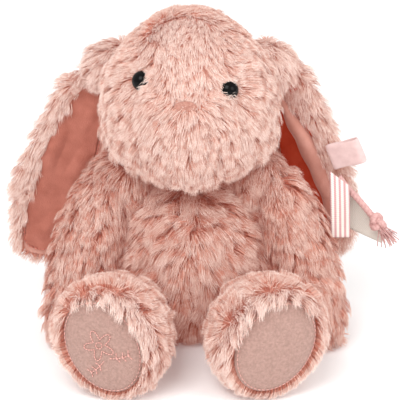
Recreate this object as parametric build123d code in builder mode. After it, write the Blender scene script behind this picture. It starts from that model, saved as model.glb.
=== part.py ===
"""Stuffed bunny rabbit, sitting, as sewn covers, fillings and trims.

Millimetres.  +Z is up, the rabbit faces -Y, and its own left side is at +X.
The origin is the middle of the flat seat panel, on the surface the toy sits on.
"""

from build123d import *
import math
import os

os.makedirs("parts", exist_ok=True)

# ---------------------------------------------------------------- driving dimensions
FUR_CLOTH = 2.5  # backing cloth with the dense foot of its pile
VELOUR = 1.2  # short-nap cloth of ear linings and soles
EASE = 0.3  # room between a cover and what it holds

# The head is an egg about an upright axis.
HEAD_CENTRE = Vector(0, -14, 149)
HEAD_RADIUS = 47.0
HEAD_UP = 50.0
HEAD_DOWN = 46.0
# The gusset runs over the crown, between the side panels: (half width, height above the centre).
GUSSET_NOSE = (7.0, 6.0)
GUSSET_BROW = (21.0, 20.0)
GUSSET_CROWN = (31.0, 51.0)

# Each eye is a bead with a shank through the cloth and a locking washer behind it.
EYE_PLACE = {"left": (22.0, 14.5), "right": (-27.0, 18.5)}  # across, above the head's centre
EYE_RADIUS = 5.6
EYE_DOME = 4.4
SHANK_RADIUS = 2.0
SHANK_LENGTH = 10.0
WASHER_RADIUS = 7.0
WASHER_THICK = 1.6
WASHER_GAP = 0.8  # behind the curved cloth

NOSE_PLACE = (-2.0, 6.5)
NOSE_WIDTH = 13.0
NOSE_HEIGHT = 7.0
NOSE_THICK = 1.4

# The torso is a pear about an upright axis, cut flat at the seat.
TORSO_CENTRE = Vector(0, 8, 38)
TORSO_RADIUS = 52.0
TORSO_UP = 66.0
TORSO_DOWN = 46.0

POUCH_CENTRE = Vector(0, 8, 21)
POUCH_RADIUS = 28.0
POUCH_UP = 14.0
POUCH_DOWN = 17.0
POUCH_CLOTH = 0.8

TAIL_CENTRE = Vector(0, 65, 22)
TAIL_RADIUS = 13.0

# Arms hang from the shoulder to the paw.
SHOULDER = {"left": Vector(48, -12, 107), "right": Vector(-47, -12, 107)}
PAW = {"left": Vector(83, -34, 3), "right": Vector(-76, -34, 3)}
ARM_RADIUS = 17.0
ARM_PAW_LENGTH = 58.0  # from the paw's tip to the arm's widest place

# Legs point forwards and a little apart; each ends in an oval sole.
HIP = Vector(30, -38, 27)
SOLE_CENTRE = Vector(47, -104, 32.5)
SOLE_TILT = 33.0  # toes lean outwards from upright, in degrees
# (distance behind the sole, long radius, short radius)
LEG_SECTIONS = [
    (0.0, 28.0, 21.5),
    (9.0, 32.0, 27.0),
    (24.0, 31.0, 27.0),
    (42.0, 25.0, 22.5),
    (56.0, 18.0, 17.0),
    (65.0, 8.0, 8.0),
]

# Ears hang from the top sides of the head; each is a leaf of two cloths.
EAR_ROOT = {"left": Vector(52, 13, 165), "right": Vector(-53.5, 13, 161)}
EAR_TIP = {"left": Vector(88, 31, 40), "right": Vector(-99, 31, 34)}
EAR_TURN = {"left": 36.0, "right": 4.0}  # how far the lining turns towards the cheek, in degrees
EAR_CLOTH = 4.0
EAR_ROOT_RADIUS = 13.0
EAR_WIDE_RADIUS = 24.0
EAR_WIDE_AT = 0.62  # share of the length
EAR_TIP_RADIUS = 14.0
LINING_MARGIN = 5.0

# Trims sewn into the outer edge of the left ear.
TAB_SEAM = Vector(83.5, 0.5, 107.5)
TAB_END = Vector(101.5, -5.5, 114.5)
TAB_WIDTH = 17.0
TAB_CLOTH = 0.9
TAB_FOLD_RADIUS = 2.6
RIBBON_TOP = Vector(88.5, -5.0, 98.0)
RIBBON_END = Vector(89.5, -13.0, 62.0)
RIBBON_WIDTH = 11.5
RIBBON_THICK = 0.7
LABEL_TOP = Vector(90.0, 1.5, 77.0)
LABEL_END = Vector(118.0, -1.0, 57.5)
LABEL_WIDTH = 13.0
LABEL_THICK = 0.7
ROPE_DIAMETER = 4.0
ROPE_ROUTE = [
    (88.5, -1.0, 96.0),
    (93.5, -2.5, 89.5),
    (101.0, -4.5, 82.5),
    (109.5, -7.5, 72.5),
]
KNOT_RADIUS = 5.0
KNOT_LENGTH = 8.0
TASSEL_LENGTH = 11.0
TASSEL_RADIUS = 3.4

# The rabbit's own left is at +X.
SIDES = {"left": 1, "right": -1}
UP = Vector(0, 0, 1)
LATITUDES = range(-78, 79, 13)  # of the circles that a rounded solid is drawn through, in degrees
SEAM_TURN = 30.0  # keeps the surface's own joint line off the panels' cutting planes, in degrees


# ---------------------------------------------------------------- shapes used more than once
def egg(centre, axis, radius, up, down):
    """A rounded solid through circles that follow two half ellipses, one up and one down the axis."""
    seam = Plane(centre, z_dir=axis).x_dir.rotate(Axis((0, 0, 0), axis), SEAM_TURN)
    equator = Plane(centre, x_dir=seam, z_dir=axis)
    with BuildPart() as solid:
        for latitude in LATITUDES:
            reach = up if latitude > 0 else down
            with BuildSketch(equator.offset(reach * math.sin(math.radians(latitude)))):
                Circle(radius * math.cos(math.radians(latitude)))
        loft()
    return solid.part


def head_egg(inset):
    """The head's surface, moved inwards by the inset."""
    return egg(HEAD_CENTRE, UP, HEAD_RADIUS - inset, HEAD_UP - inset, HEAD_DOWN - inset)


def torso_pear(inset):
    """The torso's surface, moved inwards by the inset, with a flat seat."""
    pear = egg(TORSO_CENTRE, UP, TORSO_RADIUS - inset, TORSO_UP - inset, TORSO_DOWN - inset)
    with BuildPart() as solid:
        add(pear)
        split(bisect_by=Plane.XY.offset(inset), keep=Keep.TOP)
    return solid.part


def arm_egg(side, inset):
    """One arm's surface, moved inwards by the inset."""
    length = (SHOULDER[side] - PAW[side]).length
    axis = (SHOULDER[side] - PAW[side]).normalized()
    widest = PAW[side] + axis * ARM_PAW_LENGTH
    return egg(widest, axis, ARM_RADIUS - inset, length - ARM_PAW_LENGTH - inset, ARM_PAW_LENGTH - inset)


def leg_frame(side):
    """Plane of one sole: z points out of the sole, x along the sole from heel to toe."""
    sign = SIDES[side]
    sole = Vector(sign * SOLE_CENTRE.X, SOLE_CENTRE.Y, SOLE_CENTRE.Z)
    hip = Vector(sign * HIP.X, HIP.Y, HIP.Z)
    out = (sole - hip).normalized()
    lean = math.radians(SOLE_TILT)
    toe = Vector(sign * math.sin(lean), 0, math.cos(lean))
    return Plane(sole, x_dir=toe - out * toe.dot(out), z_dir=out)


def leg_loft(side, inset):
    """One leg's surface, moved inwards by the inset, open towards the sole."""
    frame = leg_frame(side)
    with BuildPart() as solid:
        for behind, long_radius, short_radius in LEG_SECTIONS:
            last = behind == LEG_SECTIONS[-1][0]
            with BuildSketch(frame.offset(inset - behind if last else -behind)):
                Ellipse(long_radius - inset, short_radius - inset)
        loft()
    return solid.part


def ear_frame(side):
    """Plane between an ear's two cloths: x runs down the ear, z out of the lining."""
    sign = SIDES[side]
    turn = math.radians(EAR_TURN[side])
    down = (EAR_TIP[side] - EAR_ROOT[side]).normalized()
    facing = Vector(-sign * math.sin(turn), -math.cos(turn), 0)
    return Plane(EAR_ROOT[side], x_dir=down, z_dir=facing - down * facing.dot(down))


def ear_leaf(side, margin, thickness):
    """One cloth of an ear: a leaf outline less the margin, on the side the thickness's sign says."""
    length = (EAR_TIP[side] - EAR_ROOT[side]).length
    with BuildPart() as solid:
        with BuildSketch(ear_frame(side)):
            with Locations((0, 0)):
                Circle(EAR_ROOT_RADIUS - margin)
            with Locations((EAR_WIDE_AT * length, 0)):
                Circle(EAR_WIDE_RADIUS - margin)
            with Locations((length - EAR_TIP_RADIUS, 0)):
                Circle(EAR_TIP_RADIUS - margin)
            make_hull()
        extrude(amount=thickness)
    return solid.part


def strip_frame(top, end, facing=Vector(0, -1, 0)):
    """Plane at the top of a hanging strip: y runs up the strip, z out of its front."""
    up = (top - end).normalized()
    front = (facing - up * facing.dot(up)).normalized()
    return Plane(top, x_dir=up.cross(front), z_dir=front)


def save(piece, label):
    """Name a finished piece and write its file."""
    piece.part.label = label
    export_step(piece.part, f"parts/{label}.step")


# ---------------------------------------------------------------- head
HEAD_OUTSIDE = head_egg(0)
HEAD_INSIDE = head_egg(FUR_CLOTH)


def head_point(across, rise):
    """Plane on the front of the head's surface, z outwards, at a place across and above its centre."""
    radius = HEAD_RADIUS * math.sqrt(1 - (rise / HEAD_UP) ** 2)
    ahead = -math.sqrt(radius**2 - across**2)
    outwards = Vector(across / HEAD_RADIUS**2, ahead / HEAD_RADIUS**2, rise / HEAD_UP**2)
    return Plane(HEAD_CENTRE + Vector(across, ahead, rise), x_dir=UP.cross(outwards), z_dir=outwards)


with BuildPart() as gusset_wedge:
    with BuildSketch(Plane(HEAD_CENTRE, x_dir=(1, 0, 0), z_dir=(0, -1, 0))):
        with BuildLine():
            near_edge = ThreePointArc(GUSSET_NOSE, GUSSET_BROW, GUSSET_CROWN)
            mirror(near_edge, about=Plane.YZ)
            Line((-GUSSET_NOSE[0], GUSSET_NOSE[1]), GUSSET_NOSE)
            Line((-GUSSET_CROWN[0], GUSSET_CROWN[1]), GUSSET_CROWN)
        make_face()
    extrude(amount=HEAD_RADIUS + 1, both=True)

with BuildPart() as head_gusset:
    add(HEAD_OUTSIDE)
    add(HEAD_INSIDE, mode=Mode.SUBTRACT)
    add(gusset_wedge.part, mode=Mode.INTERSECT)
save(head_gusset, "head_gusset")

for side, sign in SIDES.items():
    eye_seat = head_point(*EYE_PLACE[side])

    with BuildPart() as head_side:
        add(HEAD_OUTSIDE)
        add(HEAD_INSIDE, mode=Mode.SUBTRACT)
        add(gusset_wedge.part, mode=Mode.SUBTRACT)
        split(bisect_by=Plane.YZ, keep=Keep.TOP if sign > 0 else Keep.BOTTOM)
        with BuildSketch(eye_seat):
            Circle(SHANK_RADIUS + EASE)
        extrude(amount=SHANK_LENGTH / 2, both=True, mode=Mode.SUBTRACT)
    save(head_side, f"head_side_{side}")

    with BuildPart() as eye:
        with BuildSketch(Plane(eye_seat.origin, x_dir=eye_seat.x_dir, z_dir=-eye_seat.y_dir)):
            with BuildLine():
                dome = TangentArc((0, EYE_DOME), (EYE_RADIUS, 0), tangent=(1, 0))
                shank_foot = (0, -SHANK_LENGTH)
                Polyline(dome @ 1, (SHANK_RADIUS, 0), (SHANK_RADIUS, -SHANK_LENGTH), shank_foot, dome @ 0)
            make_face()
        revolve(axis=Axis(eye_seat.origin, eye_seat.z_dir))
    save(eye, f"eye_{side}")

    with BuildPart() as eye_washer:
        with BuildSketch(eye_seat.offset(-FUR_CLOTH - WASHER_GAP)):
            Circle(WASHER_RADIUS)
            Circle(SHANK_RADIUS, mode=Mode.SUBTRACT)
        extrude(amount=-WASHER_THICK)
    save(eye_washer, f"eye_washer_{side}")

with BuildPart() as nose:
    with BuildSketch(head_point(*NOSE_PLACE)):
        Ellipse(NOSE_WIDTH / 2, NOSE_HEIGHT / 2)
    extrude(amount=NOSE_WIDTH / 2, both=True)
    add(head_egg(-NOSE_THICK), mode=Mode.INTERSECT)
    add(HEAD_OUTSIDE, mode=Mode.SUBTRACT)
save(nose, "nose")

with BuildPart() as head_filling:
    add(head_egg(FUR_CLOTH + EASE))
    for side in SIDES:
        with BuildSketch(head_point(*EYE_PLACE[side])):
            Circle(WASHER_RADIUS + EASE)
        extrude(amount=-SHANK_LENGTH - EASE, mode=Mode.SUBTRACT)
save(head_filling, "head_filling")

# ---------------------------------------------------------------- torso
TORSO_OUTSIDE = torso_pear(0)
TORSO_INSIDE = torso_pear(FUR_CLOTH)
TORSO_BACK = Plane(TORSO_CENTRE, z_dir=(0, 1, 0))

for side, sign in SIDES.items():
    for half, keep in {"front": Keep.BOTTOM, "back": Keep.TOP}.items():
        with BuildPart() as torso_panel:
            add(TORSO_OUTSIDE)
            add(TORSO_INSIDE, mode=Mode.SUBTRACT)
            split(bisect_by=Plane.XY.offset(FUR_CLOTH), keep=Keep.TOP)
            split(bisect_by=TORSO_BACK, keep=keep)
            split(bisect_by=Plane.YZ, keep=Keep.TOP if sign > 0 else Keep.BOTTOM)
        save(torso_panel, f"torso_{half}_{side}")

with BuildPart() as seat_panel:
    add(TORSO_OUTSIDE)
    split(bisect_by=Plane.XY.offset(FUR_CLOTH), keep=Keep.BOTTOM)
save(seat_panel, "seat_panel")


def pouch_pear(inset):
    """The bean pouch's surface, moved inwards by the inset."""
    return egg(POUCH_CENTRE, UP, POUCH_RADIUS - inset, POUCH_UP - inset, POUCH_DOWN - inset)


with BuildPart() as bean_pouch:
    add(pouch_pear(0))
    add(pouch_pear(POUCH_CLOTH), mode=Mode.SUBTRACT)
save(bean_pouch, "bean_pouch")

with BuildPart() as pellets:
    add(pouch_pear(POUCH_CLOTH + EASE))
save(pellets, "pellets")

with BuildPart() as torso_filling:
    add(torso_pear(FUR_CLOTH + EASE))
    add(pouch_pear(-EASE), mode=Mode.SUBTRACT)
save(torso_filling, "torso_filling")

with BuildPart() as tail_cover:
    with Locations(TAIL_CENTRE):
        Sphere(TAIL_RADIUS)
        Sphere(TAIL_RADIUS - FUR_CLOTH, mode=Mode.SUBTRACT)
    add(torso_pear(-EASE), mode=Mode.SUBTRACT)
save(tail_cover, "tail_cover")

with BuildPart() as tail_filling:
    with Locations(TAIL_CENTRE):
        Sphere(TAIL_RADIUS - FUR_CLOTH - EASE)
    add(torso_pear(-EASE), mode=Mode.SUBTRACT)
save(tail_filling, "tail_filling")

# ---------------------------------------------------------------- arms
for side, sign in SIDES.items():
    along = (SHOULDER[side] - PAW[side]).normalized()
    outwards = (Vector(sign, 0, 0) - along * along.X * sign).normalized()
    arm_seam = Plane(PAW[side], z_dir=outwards)

    for half, keep in {"outer": Keep.TOP, "inner": Keep.BOTTOM}.items():
        with BuildPart() as arm_panel:
            add(arm_egg(side, 0))
            add(arm_egg(side, FUR_CLOTH), mode=Mode.SUBTRACT)
            split(bisect_by=arm_seam, keep=keep)
        save(arm_panel, f"arm_{side}_{half}")

    with BuildPart() as arm_filling:
        add(arm_egg(side, FUR_CLOTH + EASE))
    save(arm_filling, f"arm_{side}_filling")

# ---------------------------------------------------------------- legs
for side, sign in SIDES.items():
    frame = leg_frame(side)
    outwards = (Vector(sign, 0, 0) - frame.z_dir * frame.z_dir.X * sign).normalized()
    leg_seam = Plane(frame.origin, z_dir=outwards)

    for half, keep in {"outer": Keep.TOP, "inner": Keep.BOTTOM}.items():
        with BuildPart() as leg_panel:
            add(leg_loft(side, 0))
            add(leg_loft(side, FUR_CLOTH), mode=Mode.SUBTRACT)
            split(bisect_by=leg_seam, keep=keep)
        save(leg_panel, f"leg_{side}_{half}")

    with BuildPart() as leg_filling:
        add(leg_loft(side, FUR_CLOTH + EASE))
    save(leg_filling, f"leg_{side}_filling")

    with BuildPart() as sole:
        with BuildSketch(frame):
            Ellipse(LEG_SECTIONS[0][1], LEG_SECTIONS[0][2])
        extrude(amount=VELOUR)
    save(sole, f"sole_{side}")

# ---------------------------------------------------------------- ears
for side in SIDES:
    with BuildPart() as ear_back:
        add(ear_leaf(side, 0, -EAR_CLOTH))
    save(ear_back, f"ear_{side}_back")

    with BuildPart() as ear_lining:
        add(ear_leaf(side, LINING_MARGIN, VELOUR))
    save(ear_lining, f"ear_{side}_lining")

# ---------------------------------------------------------------- trims on the left ear
tab_frame = strip_frame(TAB_SEAM, TAB_END)
tab_side = Plane(tab_frame.origin, x_dir=-tab_frame.y_dir, z_dir=tab_frame.x_dir)
tab_length = (TAB_SEAM - TAB_END).length
with BuildPart() as velvet_tab:
    with BuildSketch(tab_side):
        Circle(TAB_CLOTH)
        with Locations((tab_length - TAB_FOLD_RADIUS, 0)):
            Circle(TAB_FOLD_RADIUS)
        make_hull()
        offset(amount=-TAB_CLOTH, mode=Mode.SUBTRACT)
    extrude(amount=TAB_WIDTH / 2, both=True)
save(velvet_tab, "velvet_tab")

with BuildPart() as striped_ribbon:
    ribbon_length = (RIBBON_TOP - RIBBON_END).length
    with BuildSketch(strip_frame(RIBBON_TOP, RIBBON_END)):
        Rectangle(RIBBON_WIDTH, ribbon_length, align=(Align.CENTER, Align.MAX))
    extrude(amount=RIBBON_THICK)
save(striped_ribbon, "striped_ribbon")

with BuildPart() as woven_label:
    label_length = (LABEL_TOP - LABEL_END).length
    with BuildSketch(strip_frame(LABEL_TOP, LABEL_END)):
        Rectangle(LABEL_WIDTH, label_length, align=(Align.CENTER, Align.MAX))
    extrude(amount=LABEL_THICK)
save(woven_label, "woven_label")


def corner_radii(route):
    """The largest arcs that a route's corners take: 0.45 of the shorter run, over tan(half the turn)."""
    radii = []
    for before, corner, after in zip(route, route[1:], route[2:]):
        into = Vector(corner) - Vector(before)
        out_of = Vector(after) - Vector(corner)
        half_turn = math.radians(into.get_angle(out_of) / 2)
        radii.append(0.45 * min(into.length, out_of.length) / math.tan(half_turn))
    return radii


rope_radii = corner_radii(ROPE_ROUTE)
print("rope corner radii", [round(radius, 1) for radius in rope_radii])
with BuildPart() as rope:
    with BuildLine() as rope_line:
        FilletPolyline(*ROPE_ROUTE, radius=rope_radii)
    with BuildSketch(Plane(rope_line.line @ 0, z_dir=rope_line.line % 0)):
        Circle(ROPE_DIAMETER / 2)
    sweep()
save(rope, "rope")
rope_length = sum(edge.length for edge in rope_line.edges())
rope_section = math.pi * (ROPE_DIAMETER / 2) ** 2
print("rope length", round(rope_length, 1))
print("rope volume", round(rope.part.volume, 1), "section times length", round(rope_section * rope_length, 1))

rope_end = Vector(*ROPE_ROUTE[-1])
rope_heading = rope_line.line % 1
knot_start = Plane(rope_end, z_dir=rope_heading)
knot_end = knot_start.offset(KNOT_LENGTH)
with BuildPart() as rope_knot:
    with BuildSketch(knot_start):
        Circle(ROPE_DIAMETER / 2)
    with BuildSketch(knot_start.offset(KNOT_LENGTH / 4)):
        Circle(KNOT_RADIUS * 0.9)
    with BuildSketch(knot_start.offset(KNOT_LENGTH / 2)):
        Circle(KNOT_RADIUS)
    with BuildSketch(knot_start.offset(KNOT_LENGTH * 3 / 4)):
        Circle(KNOT_RADIUS * 0.9)
    with BuildSketch(knot_end):
        Circle(ROPE_DIAMETER / 2)
    loft()
save(rope_knot, "rope_knot")

with BuildPart() as rope_tassel:
    with BuildSketch(knot_end):
        Circle(ROPE_DIAMETER / 2)
    with BuildSketch(knot_end.offset(TASSEL_LENGTH)):
        Circle(TASSEL_RADIUS)
    loft()
save(rope_tassel, "rope_tassel")
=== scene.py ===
"""Looks of the sitting stuffed rabbit: plush pile over sewn skins, velour, velvet and woven trims.

Metres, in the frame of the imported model.  +Z is up, the rabbit faces -Y, its own left is at +X.
"""

import math

import bmesh
import bpy
import numpy as np
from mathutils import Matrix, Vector
from mathutils.bvhtree import BVHTree
from mathutils.kdtree import KDTree


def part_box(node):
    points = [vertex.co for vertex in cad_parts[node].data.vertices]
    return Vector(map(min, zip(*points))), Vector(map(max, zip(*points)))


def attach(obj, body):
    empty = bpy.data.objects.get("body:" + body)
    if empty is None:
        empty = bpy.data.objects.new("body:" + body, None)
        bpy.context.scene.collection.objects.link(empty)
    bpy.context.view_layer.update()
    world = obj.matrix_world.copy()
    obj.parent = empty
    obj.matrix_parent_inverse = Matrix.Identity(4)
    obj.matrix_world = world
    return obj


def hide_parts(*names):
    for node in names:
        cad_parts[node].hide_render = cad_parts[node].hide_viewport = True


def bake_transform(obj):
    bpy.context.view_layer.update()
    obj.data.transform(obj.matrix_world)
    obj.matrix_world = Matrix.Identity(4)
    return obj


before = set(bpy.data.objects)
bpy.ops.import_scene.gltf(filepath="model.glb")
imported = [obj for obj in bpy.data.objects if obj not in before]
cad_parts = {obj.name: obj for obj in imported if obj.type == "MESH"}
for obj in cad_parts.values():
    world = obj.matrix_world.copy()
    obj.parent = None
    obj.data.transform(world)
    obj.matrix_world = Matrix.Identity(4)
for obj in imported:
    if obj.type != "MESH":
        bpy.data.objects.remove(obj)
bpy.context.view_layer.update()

scene = bpy.context.scene
MM = 0.001
UP = np.array([0.0, 0.0, 1.0])
SIDES = {"left": 1.0, "right": -1.0}

# ---------------------------------------------------------------- camera, light and floor
scene.view_settings.view_transform = "Standard"

camera_data = bpy.data.cameras.new("camera")
camera_data.lens = 139.7
camera_data.sensor_width = 36.0
camera = bpy.data.objects.new("camera", camera_data)
camera.location = (0.0058, -0.881, 0.3844)
camera.rotation_euler = (math.radians(71.0), 0.0, 0.0)
scene.collection.objects.link(camera)
scene.camera = camera

world = bpy.data.worlds.new("studio")
world.use_nodes = True
world.node_tree.nodes["Background"].inputs["Color"].default_value = (1.0, 0.99, 0.98, 1.0)
world.node_tree.nodes["Background"].inputs["Strength"].default_value = 0.84
scene.world = world


def softbox(name, place, aim, size, power):
    """A square area light at a place, turned to a point."""
    data = bpy.data.lights.new(name, "AREA")
    data.size = size
    data.energy = power
    lamp = bpy.data.objects.new(name, data)
    lamp.location = place
    lamp.rotation_euler = (Vector(aim) - Vector(place)).to_track_quat("-Z", "Y").to_euler()
    scene.collection.objects.link(lamp)


softbox("key", (-0.45, -1.05, 1.30), (0.0, 0.0, 0.09), 0.9, 14.8)
softbox("fill", (0.95, -0.80, 0.75), (0.0, 0.0, 0.09), 0.7, 5.0)


# ---------------------------------------------------------------- materials
def principled(name, **values):
    """A material and its shader, with plain values set on the shader's own sockets."""
    made = bpy.data.materials.new(name)
    made.use_nodes = True
    shader = made.node_tree.nodes["Principled BSDF"]
    for socket, value in values.items():
        shader.inputs[socket.replace("_", " ")].default_value = value
    return made, shader


def rgb(red, green, blue):
    """Linear colour, with alpha, from display values of 0 to 255."""
    shares = [v / 255 for v in (red, green, blue)]
    return tuple(((v + 0.055) / 1.055) ** 2.4 if v > 10 / 255 else v / 12.92 for v in shares) + (1.0,)


def added(made, kind, **values):
    """A new node in a material, with values set on its sockets."""
    node = made.node_tree.nodes.new("ShaderNode" + kind)
    for socket, value in values.items():
        node.inputs[socket].default_value = value
    return node


def ramped(made, stops):
    """A colour ramp in a material, through its two stops of place and colour."""
    ramp = added(made, "ValToRGB")
    for element, (place, colour) in zip(ramp.color_ramp.elements, stops):
        element.position = place
        element.color = colour
    return ramp


def linked(made, *pairs):
    """Links sockets of a material, each pair from its first to its second."""
    for source, target in pairs:
        made.node_tree.links.new(source, target)


def mottled(name, dark, light, patch, grain, bump, **values):
    """A material that drifts between two colours over patches, with a fine raised grain.

    Colours are display values of 0 to 255, patch and grain are sizes in millimetres.
    """
    made, shader = principled(name, **values)
    place = added(made, "TexCoord").outputs["Object"]
    drift = added(made, "TexNoise", Scale=1.0 / (patch * MM), Detail=4.0)
    pile = added(made, "TexNoise", Scale=1.0 / (grain * MM), Detail=3.0)
    ramp = ramped(made, [(0.32, rgb(*dark)), (0.68, rgb(*light))])
    relief = added(made, "Bump", Strength=bump, Distance=grain * MM)
    linked(
        made,
        (place, drift.inputs["Vector"]),
        (place, pile.inputs["Vector"]),
        (drift.outputs["Fac"], ramp.inputs["Fac"]),
        (ramp.outputs["Color"], shader.inputs["Base Color"]),
        (pile.outputs["Fac"], relief.inputs["Height"]),
        (relief.outputs["Normal"], shader.inputs["Normal"]),
    )
    return made


PILE_TINTS = [
    rgb(190, 108, 87),
    rgb(205, 140, 121),
    rgb(214, 164, 148),
    rgb(223, 188, 174),
    rgb(232, 207, 195),
    rgb(243, 225, 216),
]
PILE_LOOK = {
    "Roughness": 0.7,
    "Specular_IOR_Level": 0.2,
    "Sheen_Weight": 0.15,
    # A painted warm glow in the pile itself, standing in for light that the thin pile lets through, so that
    # the gaps between tufts stay warm.
    "Emission_Color": rgb(220, 108, 84),
    "Emission_Strength": 0.07,
}
PILE = [principled(f"pile_{i}", Base_Color=tint, **PILE_LOOK)[0] for i, tint in enumerate(PILE_TINTS)]
# The backing is tinted darker than most of the pile, a painted shade that shows in the gaps between tufts.
BACKING = mottled("plush_backing", (206, 146, 130), (222, 168, 153), 6, 0.8, 0.6, Roughness=0.9)
NAP = {"Roughness": 0.8, "Sheen_Weight": 0.2}
SOLE_VELOUR = mottled(
    "sole_velour", (162, 128, 117), (184, 147, 136), 1.4, 0.8, 1.0, Roughness=0.75, Sheen_Weight=0.2
)
LINING_VELOUR = mottled("lining_velour", (174, 100, 82), (192, 118, 100), 9, 0.6, 0.6, **NAP)
# The roll is a lighter copy of the lining velour, a painted sheen where the rolled edge faces the light.
LIT_ROLL_VELOUR = mottled("lit_roll_velour", (198, 136, 120), (212, 154, 139), 9, 0.6, 0.6, **NAP)
# The left ear's velour is a darker, redder copy of the lining velour: painted shade for its shadowed hollow,
# with a painted warm glow standing in for light bounced inside it.
PAINTED_RED_GLOW = {"Emission_Color": rgb(214, 62, 20), "Emission_Strength": 0.12}
SHADED_LINING_VELOUR = mottled("shaded_lining_velour", (178, 60, 32), (190, 76, 48), 9, 0.6, 0.6, Roughness=0.8, **PAINTED_RED_GLOW)
VELVET = mottled("velvet", (216, 184, 181), (228, 198, 195), 4, 0.4, 0.25, Roughness=0.7, Sheen_Weight=0.6)
THREAD = mottled("thread", (222, 160, 150), (238, 186, 176), 1.5, 0.3, 0.4, Roughness=0.55)
SEAM_THREAD = mottled("seam_thread", (196, 104, 88), (220, 136, 120), 1.5, 0.3, 0.4, Roughness=0.7)
ROPE_YARN = mottled("rope_yarn", (198, 148, 145), (222, 180, 175), 1.2, 0.3, 0.5, Roughness=0.8)
BEAD = mottled("bead", (5, 4, 5), (12, 10, 10), 2, 0.6, 0.02, Roughness=0.14, Specular_IOR_Level=0.12)
NOSE_VELVET = mottled("nose_velvet", (168, 112, 97), (196, 146, 131), 1.2, 0.5, 0.8, Roughness=0.8)
FILLING = mottled("filling", (236, 232, 224), (248, 246, 242), 5, 1.2, 0.8, Roughness=0.95)
POUCH = mottled("pouch_cloth", (214, 206, 192), (226, 220, 208), 4, 0.5, 0.5, Roughness=0.9)
PELLETS = mottled("pellets", (205, 202, 196), (238, 236, 230), 3, 2.5, 0.9, Roughness=0.4)
WASHER = mottled("washer", (226, 224, 220), (238, 237, 234), 3, 0.5, 0.1, Roughness=0.35)


def striped_weave(name, ground, stripe, stripes, ribs):
    """Woven tape with stripes along its length and fine ribs across it, placed by the piece's own UV map."""
    made, shader = principled(name, Roughness=0.55, Sheen_Weight=0.2)
    split = added(made, "SeparateXYZ")
    linked(made, (added(made, "UVMap").outputs["UV"], split.inputs["Vector"]))

    def waves(output, count):
        turn = added(made, "Math")
        turn.operation = "MULTIPLY"
        turn.inputs[1].default_value = count * 2 * math.pi
        wave = added(made, "Math")
        wave.operation = "COSINE"
        linked(made, (split.outputs[output], turn.inputs[0]), (turn.outputs[0], wave.inputs[0]))
        return wave.outputs[0]

    ramp = ramped(made, [(0.0, ground), (0.25, stripe)])
    relief = added(made, "Bump", Strength=0.4, Distance=0.2 * MM)
    linked(
        made,
        (waves("X", stripes), ramp.inputs["Fac"]),
        (ramp.outputs["Color"], shader.inputs["Base Color"]),
        (waves("Y", ribs), relief.inputs["Height"]),
        (relief.outputs["Normal"], shader.inputs["Normal"]),
    )
    return made


RIBBON_WEAVE = striped_weave("ribbon_weave", rgb(238, 228, 220), rgb(208, 158, 158), 4, 60)
LABEL_WEAVE = striped_weave("label_weave", rgb(206, 198, 188), rgb(222, 214, 203), 26, 70)

# The floor is lit a little from within, so that it comes out white.
PAPER_GLOW = {"Emission_Color": (1.0, 1.0, 1.0, 1.0), "Emission_Strength": 0.12}
PAPER = mottled("paper", (251, 251, 251), (254, 254, 254), 400, 2, 0.02, Roughness=0.9, **PAPER_GLOW)
FLOOR_REACH = 6.0
floor_mesh = bpy.data.meshes.new("floor")
floor_corners = [(x * FLOOR_REACH, y * FLOOR_REACH, 0) for x, y in ((-1, -1), (1, -1), (1, 1), (-1, 1))]
floor_mesh.from_pydata(floor_corners, [], [(0, 1, 2, 3)])
floor_mesh.materials.append(PAPER)
floor = bpy.data.objects.new("floor", floor_mesh)
scene.collection.objects.link(floor)


# ---------------------------------------------------------------- mesh helpers
def points_of(mesh):
    """A mesh's vertices as an (N, 3) array."""
    co = np.empty(len(mesh.vertices) * 3, np.float32)
    mesh.vertices.foreach_get("co", co)
    return co.reshape(-1, 3).astype(float)


def normals_of(mesh):
    """A mesh's vertex normals as an (N, 3) array."""
    no = np.empty(len(mesh.vertices) * 3, np.float32)
    mesh.vertex_normals.foreach_get("vector", no)
    return no.reshape(-1, 3).astype(float)


def triangles_of(mesh):
    """A mesh's triangles as an (N, 3) array of vertex indices."""
    mesh.calc_loop_triangles()
    tri = np.empty(len(mesh.loop_triangles) * 3, np.int32)
    mesh.loop_triangles.foreach_get("vertices", tri)
    return tri.reshape(-1, 3)


def unit(v):
    """Vectors at length 1."""
    return v / np.maximum(np.linalg.norm(v, axis=-1, keepdims=True), 1e-12)


def set_points(mesh, co):
    """Writes an (N, 3) array back to a mesh's vertices."""
    mesh.vertices.foreach_set("co", co.astype(np.float32).ravel())
    mesh.update()


def dress(obj, material):
    """Gives an object one material and smooth faces."""
    obj.data.materials.clear()
    obj.data.materials.append(material)
    obj.data.polygons.foreach_set("use_smooth", [True] * len(obj.data.polygons))


def shown(name, mesh, material, body):
    """An object in the scene with a material, riding on a body."""
    obj = bpy.data.objects.new(name, mesh)
    scene.collection.objects.link(obj)
    dress(obj, material)
    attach(obj, body)
    return obj


def applied(obj):
    """Puts an object's modifiers into its mesh."""
    depsgraph = bpy.context.evaluated_depsgraph_get()
    final = bpy.data.meshes.new_from_object(obj.evaluated_get(depsgraph))
    obj.modifiers.clear()
    old = obj.data
    obj.data = final
    bpy.data.meshes.remove(old)
    return obj


def grid_faces(count, width, spans, base=0):
    """Four-sided faces between rows of points, the first of which has the number base."""
    faces = []
    for low in range(base, base + (count - 1) * width, width):
        for c in range(spans):
            d = (c + 1) % width
            faces.append((low + c, low + d, low + width + d, low + width + c))
    return faces


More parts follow.
